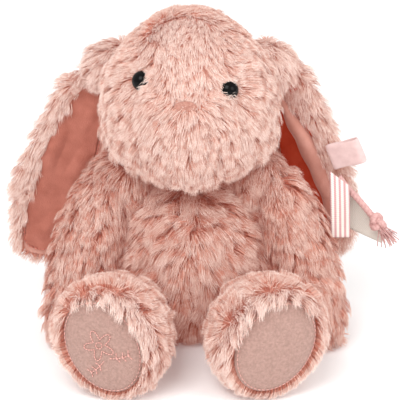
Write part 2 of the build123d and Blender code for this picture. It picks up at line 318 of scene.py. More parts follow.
def grid_mesh(name, rows, wrap=False):
    """A mesh through rows of points, with a UV map that runs across and along them."""
    count, width = len(rows), len(rows[0])
    spans = width if wrap else width - 1
    mesh = bpy.data.meshes.new(name)
    mesh.from_pydata([tuple(p) for row in rows for p in row], [], grid_faces(count, width, spans))
    layer = mesh.uv_layers.new(name="UVMap")
    corners = [(0, 0), (1, 0), (1, 1), (0, 1)]
    uv = []
    for r in range(count - 1):
        for c in range(spans):
            uv += [((c + a) / spans, (r + b) / (count - 1)) for a, b in corners]
    layer.data.foreach_set("uv", np.array(uv, np.float32).ravel())
    mesh.update()
    return mesh


def remeshed(name, mesh, voxel):
    """A mesh rebuilt in even small faces, as a plain object."""
    made = bpy.data.objects.new(name, mesh)
    scene.collection.objects.link(made)
    remesh = made.modifiers.new("even", "REMESH")
    remesh.mode = "VOXEL"
    remesh.voxel_size = voxel
    return applied(made)


def even_copy(name, node, voxel):
    """A copy of a CAD node rebuilt in even small faces."""
    return remeshed(name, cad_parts[node].data.copy(), voxel)


def even_form(name, form, voxel):
    """A bmesh rebuilt in even small faces."""
    mesh = bpy.data.meshes.new(name)
    form.to_mesh(mesh)
    form.free()
    return remeshed(name, mesh, voxel)


def stuffed(name, node, voxel):
    """The closed convex form round a CAD node, rebuilt in even small faces."""
    form = bmesh.new()
    form.from_mesh(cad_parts[node].data)
    hull = bmesh.ops.convex_hull(form, input=form.verts)
    loose = [v for v in hull["geom_interior"] + hull["geom_unused"] if isinstance(v, bmesh.types.BMVert)]
    bmesh.ops.delete(form, geom=list(set(loose)), context="VERTS")
    return even_form(name, form, voxel)


PUFF_PRESSURE = 4.0
PUFF_CAP = 1.4 * MM
PUFF_STEPS = 12


def puff(obj):
    """Blows a closed cloth up a little with the cloth solver, and moves no point by more than the cap."""
    rest = points_of(obj.data)
    cloth = obj.modifiers.new("cloth", "CLOTH")
    cloth.settings.quality = 4
    cloth.settings.use_pressure = True
    cloth.settings.uniform_pressure_force = PUFF_PRESSURE
    cloth.settings.effector_weights.gravity = 0.0
    for step in range(1, PUFF_STEPS + 1):
        scene.frame_set(step)
    swollen = points_of(obj.evaluated_get(bpy.context.evaluated_depsgraph_get()).data)
    scene.frame_set(1)
    obj.modifiers.clear()
    move = swollen - rest
    reach = np.linalg.norm(move, axis=1, keepdims=True)
    set_points(obj.data, rest + move * np.minimum(1.0, PUFF_CAP / np.maximum(reach, 1e-9)))


def ripple(points, size, seed):
    """Smooth pseudo-random vectors, about -1 to 1, that change over the given distance."""
    rng = np.random.default_rng(seed)
    total = np.zeros_like(points)
    for _ in range(5):
        heading = unit(rng.normal(size=(3, 3)))
        phase = rng.uniform(0, 2 * math.pi, 3)
        total += np.sin(points @ heading.T * (2 * math.pi / size) * rng.uniform(0.7, 1.4) + phase)
    return total / 2.5


def pushed(points, lobes):
    """Points moved by soft lobes, each a centre, a radius and a move in millimetres."""
    moved = points.copy()
    for centre, radius, move in lobes:
        near = np.exp(-(np.linalg.norm(points / MM - np.array(centre), axis=1) ** 2) / (radius**2))
        moved += near[:, None] * np.array(move) * MM
    return moved


def tree_of(mesh):
    """A search tree over a mesh's triangles."""
    return BVHTree.FromPolygons(points_of(mesh).tolist(), triangles_of(mesh).tolist())


def axes_of(points):
    """The longest, middle and shortest direction of a set of points."""
    return np.linalg.svd(points - points.mean(0), full_matrices=False)[2]


def turned(direction, axis, sign):
    """A direction, or its opposite, so that its part along an axis has the sign."""
    return direction * (1 if direction[axis] * sign > 0 else -1)


def distance_to(tree, points, reach):
    """How far each point is from a tree's surface, up to the reach."""
    found = [tree.find_nearest(p, reach)[3] for p in points.tolist()]
    return np.array([reach if d is None else d for d in found])


# ---------------------------------------------------------------- rope on the left ear
ROPE_ROUTE = [(88.5, -1.0, 96.0), (93.5, -2.5, 89.5), (101.0, -4.5, 82.5), (109.5, -7.5, 72.5)]
ROPE_DIAMETER = 4.0 * MM


def route_line(name, route, resolution):
    """Points along a smooth NURBS line through a route given in millimetres."""
    data = bpy.data.curves.new(name, "CURVE")
    data.dimensions = "3D"
    spline = data.splines.new("NURBS")
    spline.points.add(len(route) - 1)
    for point, place in zip(spline.points, route):
        point.co = (*(c * MM for c in place), 1.0)
    spline.order_u = 3
    spline.use_endpoint_u = True
    spline.resolution_u = resolution
    guide = bpy.data.objects.new(name, data)
    scene.collection.objects.link(guide)
    seen = guide.evaluated_get(bpy.context.evaluated_depsgraph_get())
    line = points_of(bpy.data.meshes.new_from_object(seen))
    bpy.data.objects.remove(guide)
    return line


def even(line, count):
    """A line's points spaced evenly."""
    steps = np.linalg.norm(np.diff(line, axis=0), axis=1)
    along = np.concatenate([[0], np.cumsum(steps)])
    at = np.linspace(0, along[-1], count)
    return np.stack([np.interp(at, along, line[:, k]) for k in range(3)], axis=1)


def carried_frames(line):
    """Two steady side directions at each point of a line."""
    tangents = unit(np.gradient(line, axis=0))
    side = unit(np.cross(tangents[0], UP + 1e-3))
    sides = []
    for t in tangents:
        side = unit(side - t * (side @ t))
        sides.append(side)
    sides = np.array(sides)
    return sides, np.cross(tangents, sides)


def tube_rows(line, radius, around, profile=None):
    """Closed-ended rings round a line; profile gives a ring's radius share by angle and by place along."""
    side, other = carried_frames(line)
    angles = np.arange(around) * 2 * math.pi / around
    rows = []
    for i, p in enumerate(line):
        share = np.ones(around) if profile is None else profile(angles, i / (len(line) - 1))
        ring = side[i] * np.cos(angles)[:, None] + other[i] * np.sin(angles)[:, None]
        rows.append(p + ring * (radius * share)[:, None])
    return [np.repeat(line[:1], around, 0), *rows, np.repeat(line[-1:], around, 0)]


def tube(name, line, radius, around, profile, material):
    """A tube round a line that rides on the left ear."""
    return shown(name, grid_mesh(name, tube_rows(line, radius, around, profile), True), material, "ear_left")


def strands(twist):
    """Profile of three round strands twisted together, turned by so many radians from end to end."""

    def profile(angles, share):
        return 0.80 + 0.20 * np.abs(np.cos(1.5 * (angles - share * twist))) ** 0.6

    return profile


ROPE_LAY = 7.5 * MM  # length of one turn of the strands
rope_line = even(route_line("rope_route", ROPE_ROUTE, 24), 90)
rope_length = float(np.linalg.norm(np.diff(rope_line, axis=0), axis=1).sum())
rope_twist = rope_length / ROPE_LAY * 2 * math.pi
rope = tube("twisted_rope", rope_line, ROPE_DIAMETER / 2, 30, strands(rope_twist), ROPE_YARN)
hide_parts("rope")

# ---------------------------------------------------------------- skins under the pile
FLOOR_GAP = 0.4 * MM
SKIN_VOXEL = 4.0 * MM
SKIN_GROW = 1.0 * MM
EAR_VOXEL = 1.6 * MM
LINING_VOXEL = 0.8 * MM
BRIDGE_VOXEL = 2.5 * MM

SKINS = {
    "head_skin": ("head", "head_filling", ["head_gusset", "head_side_left", "head_side_right"]),
    "torso_skin": (
        "torso",
        "torso_filling",
        ["torso_front_left", "torso_front_right", "torso_back_left", "torso_back_right", "seat_panel"],
    ),
    "tail_skin": ("torso", "tail_filling", ["tail_cover"]),
}
for side in SIDES:
    for limb in ("arm", "leg"):
        SKINS[f"{limb}_{side}_skin"] = (
            f"{limb}_{side}",
            f"{limb}_{side}_filling",
            [f"{limb}_{side}_outer", f"{limb}_{side}_inner"],
        )

# Where a stuffed skin is fuller or tighter than the plain solid that it stands for.
LOBES = {
    "head_skin": [
        ((38, -20, 118), 19, (6.0, -1.0, -1.0)),
        ((-38, -20, 118), 19, (-6.0, -1.0, -1.0)),
        ((0, -12, 198), 20, (0.0, 0.0, 2.6)),
        ((0, -46, 112), 17, (0.0, -5.0, -3.0)),
        ((-4, -58, 138), 16, (0.0, -3.0, -1.0)),
        ((30, -14, 190), 13, (-3.5, 0.0, 0.0)),
        ((-30, -14, 190), 13, (3.5, 0.0, 0.0)),
    ],
    "ear_right_skin": [((-63, 13, 171), 14, (11.0, 0.0, -9.0))],
    "ear_left_skin": [((63, 13, 176), 13, (-6.0, 0.0, -7.0))],
    "torso_skin": [
        ((34, -6, 90), 17, (8.0, -5.0, 5.0)),
        ((-34, -6, 90), 17, (-7.0, -5.0, 5.0)),
        ((46, -24, 50), 22, (4.0, -1.0, 0.0)),
        ((0, -38, 60), 26, (0.0, -3.0, 0.0)),
    ],
}

skins = {}
for name, (body, filling, covers) in SKINS.items():
    skin = stuffed(name, filling, SKIN_VOXEL)
    set_points(skin.data, points_of(skin.data) + normals_of(skin.data) * SKIN_GROW)
    puff(skin)
    co = pushed(points_of(skin.data), LOBES.get(name, []))
    co[:, 2] = np.maximum(co[:, 2], FLOOR_GAP)
    set_points(skin.data, co)
    dress(skin, BACKING)
    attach(skin, body)
    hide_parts(*covers)
    skins[name] = skin

for side in SIDES:
    back = even_copy(f"ear_{side}_skin", f"ear_{side}_back", EAR_VOXEL)
    set_points(back.data, pushed(points_of(back.data), LOBES[back.name]))
    dress(back, BACKING)
    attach(back, f"ear_{side}")
    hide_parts(f"ear_{side}_back")
    skins[back.name] = back

    lining = even_copy(f"ear_{side}_velour", f"ear_{side}_lining", LINING_VOXEL)
    co = pushed(points_of(lining.data), LOBES[back.name])
    # Wrinkles run along the ear and stand outwards only, so that the pile under them stays hidden.
    wrinkle = ripple(co * np.array([1.0, 1.0, 0.45]), 15 * MM, 31)[:, :1] * MM
    raised = normals_of(lining.data) * (0.3 * MM + np.maximum(wrinkle, -0.2 * MM))
    set_points(lining.data, co + raised)
    # The left ear gets the velour with painted shade and a painted glow.
    dress(lining, SHADED_LINING_VELOUR if side == "left" else LINING_VELOUR)
    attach(lining, f"ear_{side}")
    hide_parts(f"ear_{side}_lining")
    skins[lining.name] = lining

# ---------------------------------------------------------------- cloth that crosses a sewn joint
# body it leaves, body it joins, middle, radii and the two ends of its bend, for the left side
BRIDGES = {
    "shoulder": ("torso", "arm", (40, -8, 98), (15, 14, 15), (26, -6, 98), (52, -12, 98)),
    "ear_root": ("head", "ear", (42, 9, 162), (17, 10, 13), (32, 6, 162), (52, 12, 164)),
}
bridges = {}
for kind, (near_body, far_body, middle, radii, start, end) in BRIDGES.items():
    for side, sign in SIDES.items():
        name = f"{kind}_{side}_skin"
        form = bmesh.new()
        bmesh.ops.create_icosphere(form, subdivisions=4, radius=1.0)
        place = np.array(middle) * (sign, 1, 1)
        for v in form.verts:
            v.co = (np.array(v.co) * radii + place) * MM
        bridge = even_form(name, form, BRIDGE_VOXEL)
        co = points_of(bridge.data)
        set_points(bridge.data, co + normals_of(bridge.data) * ripple(co, 18 * MM, 5)[:, :1] * 0.8 * MM)
        dress(bridge, BACKING)
        ends = [tuple(np.array(p) * (sign, 1, 1) * MM) for p in (start, end)]
        bend = (near_body, f"{far_body}_{side}", *ends)
        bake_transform(bridge)
        bridges[name] = bend
        skins[name] = bridge

# ---------------------------------------------------------------- soles
SOLE_FIT = 0.97  # the pile round a sole hides its very edge
SOLE_AROUND = 72
SOLE_PUCKERS = 24
# A sole's rounded section: each ring's share of the full radius, and its height in millimetres.
SOLE_SECTION = [
    (1.0, -1.5),
    (1.01, -0.4),
    (0.99, 0.6),
    (0.95, 1.3),
    (0.88, 2.0),
    (0.78, 2.7),
    (0.65, 3.3),
    (0.5, 3.7),
    (0.32, 4.0),
    (0.15, 4.1),
    (0.0, 4.1),
]
sole_frames = {}
for side in SIDES:
    co = points_of(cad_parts[f"sole_{side}"].data)
    middle = (co.min(0) + co.max(0)) / 2
    long_axis, _, thin_axis = axes_of(co)
    out = turned(thin_axis, 1, -1)
    long_way = turned(long_axis, 2, 1)
    short_way = np.cross(out, long_way)
    long_radius = np.abs((co - middle) @ long_way).max()
    short_radius = np.abs((co - middle) @ short_way).max()
    sole_frames[side] = (middle, long_way, short_way, out, long_radius, short_radius)
    angles = np.arange(SOLE_AROUND) * 2 * math.pi / SOLE_AROUND
    rows = []
    for share, height in SOLE_SECTION:
        ring = middle + np.outer(np.cos(angles) * long_radius * share * SOLE_FIT, long_way)
        ring = ring + np.outer(np.sin(angles) * short_radius * share * SOLE_FIT, short_way)
        pucker = np.cos(angles * SOLE_PUCKERS)[:, None] * 0.18 * MM * (share > 0.9)
        dent = ripple(ring, 26 * MM, 7)[:, :1] * 0.5 * MM * (1 - share**4)
        rows.append(ring + out * (height * MM + pucker + dent))
    sole = shown(f"sole_{side}_pad", grid_mesh(f"sole_{side}_pad", rows, True), SOLE_VELOUR, f"leg_{side}")
    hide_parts(f"sole_{side}")
    skins[sole.name] = sole

# ---------------------------------------------------------------- pile
STATIONS = np.array([0.0, 0.36, 0.70, 1.0])  # shares of a strand's length at its four points
TAPER = np.array([1.0, 0.85, 0.55])  # shares of its width at the first three, the last being its tip
STRAND_WIDTH = 0.34 * MM
DENSITY = 3.1e6  # strands a square metre


def strand_mesh(name, paths, sides, widths, shades):
    """Tapered strips along paths (N, 4, 3), with a tint for each of their three faces."""
    count = len(paths)
    half = sides[:, None, :] * (widths[:, None, None] / 2) * TAPER[None, :, None]
    core = paths[:, :3]
    strips = np.stack([core - half, core + half], axis=2).reshape(count, 6, 3)
    verts = np.concatenate([strips, paths[:, 3:]], axis=1).reshape(-1, 3)
    verts[:, 2] = np.maximum(verts[:, 2], FLOOR_GAP)
    corners = np.array([0, 1, 3, 2, 2, 3, 5, 4, 4, 5, 6])
    loops = (np.arange(count)[:, None] * 7 + corners).ravel()
    starts = (np.arange(count)[:, None] * 11 + np.array([0, 4, 8])).ravel()
    mesh = bpy.data.meshes.new(name)
    mesh.vertices.add(len(verts))
    mesh.vertices.foreach_set("co", verts.astype(np.float32).ravel())
    mesh.loops.add(len(loops))
    mesh.loops.foreach_set("vertex_index", loops.astype(np.int32))
    mesh.polygons.add(len(starts))
    mesh.polygons.foreach_set("loop_start", starts.astype(np.int32))
    for tint in PILE:
        mesh.materials.append(tint)
    mesh.polygons.foreach_set("material_index", shades.astype(np.int32).ravel())
    mesh.polygons.foreach_set("use_smooth", [True] * len(starts))
    mesh.update(calc_edges=True)
    return mesh


def scatter(mesh, rng):
    """Random points on a mesh, with their smooth normals."""
    co, no, tri = points_of(mesh), normals_of(mesh), triangles_of(mesh)
    a, b, c = co[tri[:, 0]], co[tri[:, 1]], co[tri[:, 2]]
    area = np.linalg.norm(np.cross(b - a, c - a), axis=1) / 2
    pick = rng.choice(len(tri), int(area.sum() * DENSITY), p=area / area.sum())
    u, v = rng.random((2, len(pick), 1))
    flip = u + v > 1
    u, v = np.where(flip, 1 - u, u), np.where(flip, 1 - v, v)
    corner = tri[pick]

    def mix(x):
        return x[corner[:, 0]] * (1 - u - v) + x[corner[:, 1]] * u + x[corner[:, 2]] * v

    return mix(co), unit(mix(no))


def full(points, value):
    """One value for each point."""
    return np.full(len(points), value)


def pelt(name, skin, body, groom, seed, clump=3.8 * MM, bare=(), near=(), mask=None, droop=None):
    """Combed, clumped pile on a named skin, riding on one body or blended between two.

    groom gives, for roots and normals, the way the pile lies, its length, its lift from the skin in
    radians and a tint level.  bare lists (tree, distance) where none grows, near the trees of
    neighbours that shorten it, droop how far its tips hang for its length, if not evenly.
    """
    rng = np.random.default_rng(seed)
    roots, normals = scatter(skins[skin].data, rng)
    keep = np.ones(len(roots), bool) if mask is None else mask(roots, normals)
    for tree, distance in bare:
        keep &= distance_to(tree, roots, distance * 2) > distance
    roots, normals = roots[keep], normals[keep]
    flow, length, lift, level = groom(roots, normals)
    flow = unit(flow + ripple(roots, 34 * MM, seed + 1) * 0.35)
    for tree in near:
        room = distance_to(tree, roots, 12 * MM)
        length = np.minimum(length, room * 1.3 + 3.5 * MM)

    guides = rng.choice(len(roots), max(1, int(len(roots) / (DENSITY * clump**2))), replace=False)
    finder = KDTree(len(guides))
    for i, g in enumerate(guides):
        finder.insert(roots[g], i)
    finder.balance()
    member = np.array([finder.find(p)[1] for p in roots.tolist()])

    hang = full(roots, 0.14) if droop is None else droop(roots, normals)
    unruly = (length[guides] / length.max()) ** 2
    tuft_turn = rng.normal(size=(len(guides), 3)) * 0.30 * unruly[:, None]
    tuft_length = rng.uniform(0.84, 1.14, len(guides))
    tuft_lift = rng.normal(0, 0.13, len(guides)) * unruly
    tuft_level = rng.normal(0, 0.25, len(guides)) * unruly

    def course(index, tuft, spread):
        lie = flow[index] + tuft_turn[tuft] + rng.normal(size=(len(index), 3)) * spread
        lie = unit(lie - normals[index] * (lie * normals[index]).sum(1, keepdims=True))
        size = (length[index] * tuft_length[tuft])[:, None, None]
        rise = np.clip(lift[index] + tuft_lift[tuft], 0.12, 1.35)[:, None, None]
        s = STATIONS[None, :, None]
        path = roots[index][:, None, :] + size * (
            normals[index][:, None, :] * np.sin(rise) * (1 - (1 - s) ** 1.7)
            + lie[:, None, :] * np.cos(rise) * s**1.25
        )
        path[:, :, 2] -= (size * hang[index][:, None, None] * s**2)[:, :, 0]
        return path

    lead = course(guides, np.arange(len(guides)), 0.0)
    paths = course(np.arange(len(roots)), member, 0.16)
    gather = (0.28 * STATIONS**1.2)[None, :, None]
    paths = paths * (1 - gather) + lead[member] * gather
    paths += rng.normal(size=paths.shape) * (STATIONS[None, :, None] * 0.3 * MM)

    along = unit(paths[:, 3] - paths[:, 0])
    across = unit(np.cross(along, normals))
    facing = np.cross(across, along)
    roll = rng.normal(0, 0.45, len(roots))[:, None]
    sides = across * np.cos(roll) + facing * np.sin(roll)
    widths = STRAND_WIDTH * rng.uniform(0.7, 1.25, len(roots))
    base = level + tuft_level[member] + rng.normal(0, 0.6, len(roots))
    # Each strand's root face takes a darker tint and its tip face a lighter one: painted shade at the roots
    # and painted light at the tips.
    shades = np.clip(np.rint(base[:, None] + np.array([0.4, 2.3, 4.0])), 0, len(PILE) - 1)
    mesh = strand_mesh(name, paths, sides, widths, shades)
    fur = bpy.data.objects.new(name, mesh)
    scene.collection.objects.link(fur)
    if isinstance(body, tuple):
        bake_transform(fur)
    else:
        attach(fur, body)
    return fur


def centre_of(*nodes):
    """Middle of the box round some nodes."""
    low = np.min([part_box(n)[0] for n in nodes], axis=0)
    high = np.max([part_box(n)[1] for n in nodes], axis=0)
    return (low + high) / 2


trees = {name: tree_of(skin.data) for name, skin in skins.items()}
nose_at = centre_of("nose")
EYE_DEPTH = 3.0 * MM  # how far behind a bead's front the pile parts from
eyes_at = {}
for side in SIDES:
    eyes_at[side] = centre_of(f"eye_{side}")
    eyes_at[side][1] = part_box(f"eye_{side}")[0][1] + EYE_DEPTH


def nearness(points, place, radius):
    """1 at a place, fading softly and almost gone at twice the radius."""
    return np.exp(-((np.linalg.norm((points - place) / radius, axis=1)) ** 2))


def head_groom(p, n):
    """Pile runs from the nose out over the face, down over the cheeks, and short down the brow."""
    away = unit((p - nose_at) * np.array([1.0, 0.35, 1.0]))
    flow = away + np.array([0.0, 0.25, -0.75])
    brow_half = np.interp(p[:, 2] - nose_at[2], np.array([0, 16, 44]) * MM, np.array([5, 20, 30]) * MM)
    front = np.clip((-n[:, 1] + 0.15) / 0.5, 0, 1)
    on_brow = np.clip(1.4 - np.abs(p[:, 0] - nose_at[0]) / brow_half, 0, 1) * (p[:, 2] > nose_at[2]) * front
    brow_flow = unit((nose_at - p) * np.array([0.8, 0.3, 1.0])) + np.array([0.0, 0.0, -0.3])
    flow = flow * (1 - on_brow[:, None]) + brow_flow * on_brow[:, None]
    muzzle = nearness(p, nose_at - UP * 12 * MM, 22 * MM)
    flow += muzzle[:, None] * np.array([-0.5, 0.0, -0.5])
    crown = np.clip(n[:, 2], 0, 1) ** 2
    length = full(p, 11.0 * MM) * (1 - 0.5 * np.maximum(on_brow, 0.8 * crown)) * (1 - 0.15 * muzzle)
    lift = full(p, 0.62) - 0.27 * on_brow
    level = 0.3 + 0.1 * front + 0.35 * on_brow + 0.1 * muzzle
    for side, eye in eyes_at.items():
        off = p - eye
        close = nearness(p, eye, 10 * MM)
        inner = np.clip(-off[:, 0] * SIDES[side] / (5 * MM), 0, 1)
        flow += unit(off) * (close * 1.2 * (1 - inner))[:, None]
        flow += np.array([SIDES[side], 0.0, -0.2]) * (close * inner * 2.3)[:, None]
        length *= 1 - close * (0.48 - 0.28 * inner)
        lift = lift + close * inner * 0.26
    length *= 1 - 0.2 * nearness(p, nose_at, 7 * MM)
    return flow, length, lift, level


torso_middle = centre_of("torso_filling")
tail_middle = centre_of("tail_cover")


def torso_groom(p, n):
    """Long shaggy pile that parts down the middle and runs down and outwards."""
    out = np.tanh((p[:, :1] - torso_middle[0]) / (14 * MM)) * np.array([[1.0, 0.0, 0.0]])
    flow = out * 0.75 + np.array([0.0, 0.0, -1.0])
    return flow, full(p, 13.0 * MM), full(p, 0.52), full(p, -0.4)


def tail_groom(p, n):
    """Pile that stands out all round the tail and hangs a little."""
    return unit(p - tail_middle) + np.array([0, 0, -0.3]), full(p, 10 * MM), full(p, 1.0), full(p, 0.2)


def towards(place, length, lift, level):
    """Pile that lies towards one place."""

    def groom(p, n):
        return unit(place - p), full(p, length), full(p, lift), full(p, level)

    return groom


def limb_groom(start, end, length, lift, level):
    """Pile that lies along a limb, from start to end, and falls away at its underside."""
    axis = unit(np.array(end) - np.array(start))

    def groom(p, n):
        flow = np.repeat(axis[None, :], len(p), 0) + n * 0.2 + np.array([0.0, 0.0, -0.35])
        return flow, full(p, length), full(p, lift), full(p, level)

    return groom


def foot_line(side):
    """A sole's middle, and the direction from it back into the foot."""
    sole = centre_of(f"sole_{side}")
    return sole, unit(centre_of(f"leg_{side}_filling") - sole)


def foot_groom(side):
    """Pile that stands out round the sole and leans back along the foot."""
    sole, back = foot_line(side)

    def groom(p, n):
        behind = (p - sole) @ back
        rim = np.exp(-((behind / (11 * MM)) ** 2))
        top = np.clip(n[:, 2], 0, 1)
        low = np.clip(-n[:, 2], 0, 1)
        flow = back * (1 - (1.3 + 0.5 * top - 0.4 * low) * rim)[:, None] + np.array([0.0, 0.0, -0.35])
        length = full(p, 11.0 * MM) - 3.0 * MM * rim * (1 - top) - 3.0 * MM * low
        # The pile round the sole is tinted lighter, a painted light on the tufts that hang over its edge.
        return flow, length, full(p, 0.7) + 0.2 * rim * (1 - top), 0.35 + 0.9 * rim

    return groom


def foot_droop(side):
    """Tufts above a sole hang down over its edge."""
    sole, back = foot_line(side)

    def droop(p, n):
        rim = np.exp(-((((p - sole) @ back) / (9 * MM)) ** 2))
        return 0.14 + 0.45 * rim * np.clip(n[:, 2], 0, 1)

    return droop


# Edge of the velour on the front of each ear: how far out it reaches at each height, in millimetres.
VELOUR_EDGE = {
    "left": ([40, 84, 103, 119, 135, 157], [110, 93, 80, 72.5, 64, 44]),
    "right": ([56, 67, 97, 112, 130, 144, 152], [104, 101, 91.5, 86, 78, 67, 58]),
}


def off_lining(side):
    """True for skin on the back, on the rim, or on the front beyond the velour's edge."""
    tree = trees[f"ear_{side}_velour"]
    front = turned(axes_of(points_of(skins[f"ear_{side}_velour"].data))[2], 1, -1)
    heights, reach = VELOUR_EDGE[side]

    def mask(p, n):
        covered = (distance_to(tree, p, 5 * MM) < 3.0 * MM) & (n @ front > -0.1)
        edge = np.interp(p[:, 2] / MM, heights, reach)
        return ~covered | (p[:, 0] * SIDES[side] / MM > edge) | (p[:, 2] / MM > heights[-1])

    return mask


def outside_of(*names):
    """True for skin that isn't sunk in the named skins."""

    def mask(p, n):
        free = np.ones(len(p), bool)
        for name in names:
            for i, place in enumerate(p.tolist()):
                near, facing, _, _ = trees[name].find_nearest(place)
                free[i] &= (Vector(place) - near).dot(facing) > -1.0 * MM
        return free

    return mask


def ear_groom(side):
    """Pile that runs down and outwards along an ear, fuller on its outer edge."""
    low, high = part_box(f"ear_{side}_back")
    inner, outer = (low[0], high[0]) if side == "left" else (high[0], low[0])
    axis = unit(np.array([outer, low[1], low[2]]) - np.array([inner, low[1], high[2]]))

    def groom(p, n):
        rim = np.clip(n[:, 0] * SIDES[side], 0, 1)
        flow = np.repeat(axis[None, :], len(p), 0) + n * 0.3
        return flow, 8.5 * MM + rim * 1.5 * MM, full(p, 0.55) + rim * 0.2, full(p, 1.3) + rim * 0.5

    return groom


def off_sole(side):
    """True for skin outside the sole's own outline, or well behind it."""
    middle, long_way, short_way, out, long_radius, short_radius = sole_frames[side]

    def mask(p, n):
        off = p - middle
        share = np.hypot(off @ long_way / long_radius, off @ short_way / short_radius)
        return (share > 0.95) | (off @ out < -14 * MM)

    return mask


def beside_eye(side):
    """True for the skin just inside an eye, towards the nose."""
    eye = eyes_at[side]

    def mask(p, n):
        inward = (eye[0] - p[:, 0]) * SIDES[side] / MM
        return (inward > 2.5) & (inward < 8.0) & (np.abs(p[:, 2] - eye[2]) < 5.0 * MM) & (n[:, 1] < -0.2)

    return mask


def round_nose(p, n):
    """True for the skin close round the nose."""
    return np.linalg.norm(p - nose_at, axis=1) < 8.5 * MM


def node_tree(node):
    """A search tree over a CAD node."""
    probe = even_copy(f"{node}_probe", node, 0.8 * MM)
    tree = tree_of(probe.data)
    bpy.data.objects.remove(probe)
    return tree


def trees_of(*names):
    """The search trees of some skins."""
    return [trees[name] for name in names]


EYE_ROOM = 0.4 * MM
eye_trees = {side: node_tree(f"eye_{side}") for side in SIDES}
nose_tree = node_tree("nose")

pelt(
    "head_fur",
    "head_skin",
    "head",
    head_groom,
    11,
    bare=[(eye_trees["left"], EYE_ROOM), (eye_trees["right"], EYE_ROOM), (nose_tree, 0.1 * MM)],
    near=trees_of("torso_skin", "arm_left_skin", "arm_right_skin", "ear_left_velour", "ear_right_velour"),
)
for i, side in enumerate(SIDES):
    past_eye = eyes_at[side] + np.array([SIDES[side] * 12.0, 0.0, -4.0]) * MM
    pelt(
        f"eye_{side}_tuft",
        "head_skin",
        "head",
        towards(past_eye, 5.6 * MM, 0.85, 0.6),
        81 + i,
        clump=2.4 * MM,
        bare=[(eye_trees[side], EYE_ROOM)],
        mask=beside_eye(side),
    )
pelt(
    "nose_tuft",
    "head_skin",
    "head",
    towards(nose_at, 4.5 * MM, 0.5, 0.4),
    83,
    clump=2.0 * MM,
    bare=[(nose_tree, 0.2 * MM)],
    mask=round_nose,
)
pelt(
    "torso_fur",
    "torso_skin",
    "torso",
    torso_groom,
    21,
    near=trees_of("head_skin", "arm_left_skin", "arm_right_skin", "leg_left_skin", "leg_right_skin"),
)
pelt("tail_fur", "tail_skin", "torso", tail_groom, 25)
for i, side in enumerate(SIDES):
    low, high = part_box(f"arm_{side}_filling")
    inner, outer = (low[0], high[0]) if side == "left" else (high[0], low[0])
    other = "right" if side == "left" else "left"
    shoulder, hand = (inner, high[1], high[2]), (outer, low[1], low[2])
    pelt(
        f"arm_{side}_fur",
        f"arm_{side}_skin",
        f"arm_{side}",
        limb_groom(shoulder, hand, 11.5 * MM, 0.55, -0.45),
        31 + i,
        near=trees_of("torso_skin", "head_skin", f"leg_{side}_skin", f"ear_{side}_velour"),
    )
    pelt(
        f"leg_{side}_fur",
        f"leg_{side}_skin",
        f"leg_{side}",
        foot_groom(side),
        41 + i,
        near=trees_of("torso_skin", f"leg_{other}_skin", f"arm_{side}_skin"),
        mask=off_sole(side),
        droop=foot_droop(side),
    )
    pelt(
        f"ear_{side}_fur",
        f"ear_{side}_skin",
        f"ear_{side}",
        ear_groom(side),
        51 + i,
        near=trees_of(f"arm_{side}_skin"),
        mask=off_lining(side),
    )
    pelt(
        f"ear_root_{side}_fur",
        f"ear_root_{side}_skin",
        bridges[f"ear_root_{side}_skin"],
        ear_groom(side),
        61 + i,
        mask=outside_of("head_skin"),
    )
    pelt(
        f"shoulder_{side}_fur",
        f"shoulder_{side}_skin",
        bridges[f"shoulder_{side}_skin"],
        limb_groom(shoulder, hand, 11.0 * MM, 0.5, -0.4),
        71 + i,
        near=trees_of("head_skin"),
        mask=outside_of("torso_skin", f"arm_{side}_skin"),
    )


# ---------------------------------------------------------------- stitches
def joined(name, grids):
    """One mesh from several closed tubes, each given as rows of points."""
    verts, faces = [], []
    for rows in grids:
        width = len(rows[0])
        faces += grid_faces(len(rows), width, width, len(verts))
        verts += [tuple(p) for row in rows for p in row]
    mesh = bpy.data.meshes.new(name)
    mesh.from_pydata(verts, [], faces)
    mesh.update()
    return mesh


STITCH_STEPS = 6  # from one stitch to the next, the last two of them the gap


def stitched(name, lines, out, body, material, pitch, thread):
    """Running stitches along lines, each stitch arched outwards where it leaves the cloth."""
    grids = []
    for line in lines:
        length = np.linalg.norm(np.diff(line, axis=0), axis=1).sum()
        count = max(2, int(length / pitch))
        track = even(line, count * STITCH_STEPS + 1)
        for first in range(0, count * STITCH_STEPS, STITCH_STEPS):
            part = track[first : first + STITCH_STEPS - 1]
            arch = np.sin(np.linspace(0, math.pi, len(part)))[:, None] * out * thread * 0.9
            grids.append(tube_rows(part + arch, thread / 2, 6))
    return shown(name, joined(name, grids), material, body)


def outline_of(points, across, along, middle, count):
    """The outermost points of a flat piece, seen along its normal."""
    flat = np.stack([(points - middle) @ across, (points - middle) @ along], axis=1)
    found = []
    for angle in np.linspace(0, 2 * math.pi, count, endpoint=False):
        found.append(int(np.argmax(flat @ np.array([math.cos(angle), math.sin(angle)]))))
    return points[found + found[:1]]


THREAD_SIZE = 0.55 * MM
SOLE_THREAD_SIZE = 0.4 * MM
for side in SIDES:
    co = points_of(skins[f"ear_{side}_velour"].data)
    centre = co.mean(0)
    spread = axes_of(co)
    front = turned(spread[2], 1, -1)
    edge = outline_of(co, spread[1], spread[0], centre, 90)
    edge = centre + (edge - centre) * 0.985 + front * 0.9 * MM
    seam = stitched(f"ear_{side}_seam", [edge], front, f"ear_{side}", SEAM_THREAD, 2.6 * MM, THREAD_SIZE)

    middle, long_way, short_way, out, long_radius, short_radius = sole_frames[side]
    turn = np.linspace(0, 2 * math.pi, 120)
    rim = middle + np.outer(np.cos(turn) * long_radius * 0.93, long_way)
    rim += np.outer(np.sin(turn) * short_radius * 0.93, short_way) + out * 1.5 * MM
    seam = stitched(f"sole_{side}_seam", [rim], out, f"leg_{side}", THREAD, 2.4 * MM, SOLE_THREAD_SIZE)


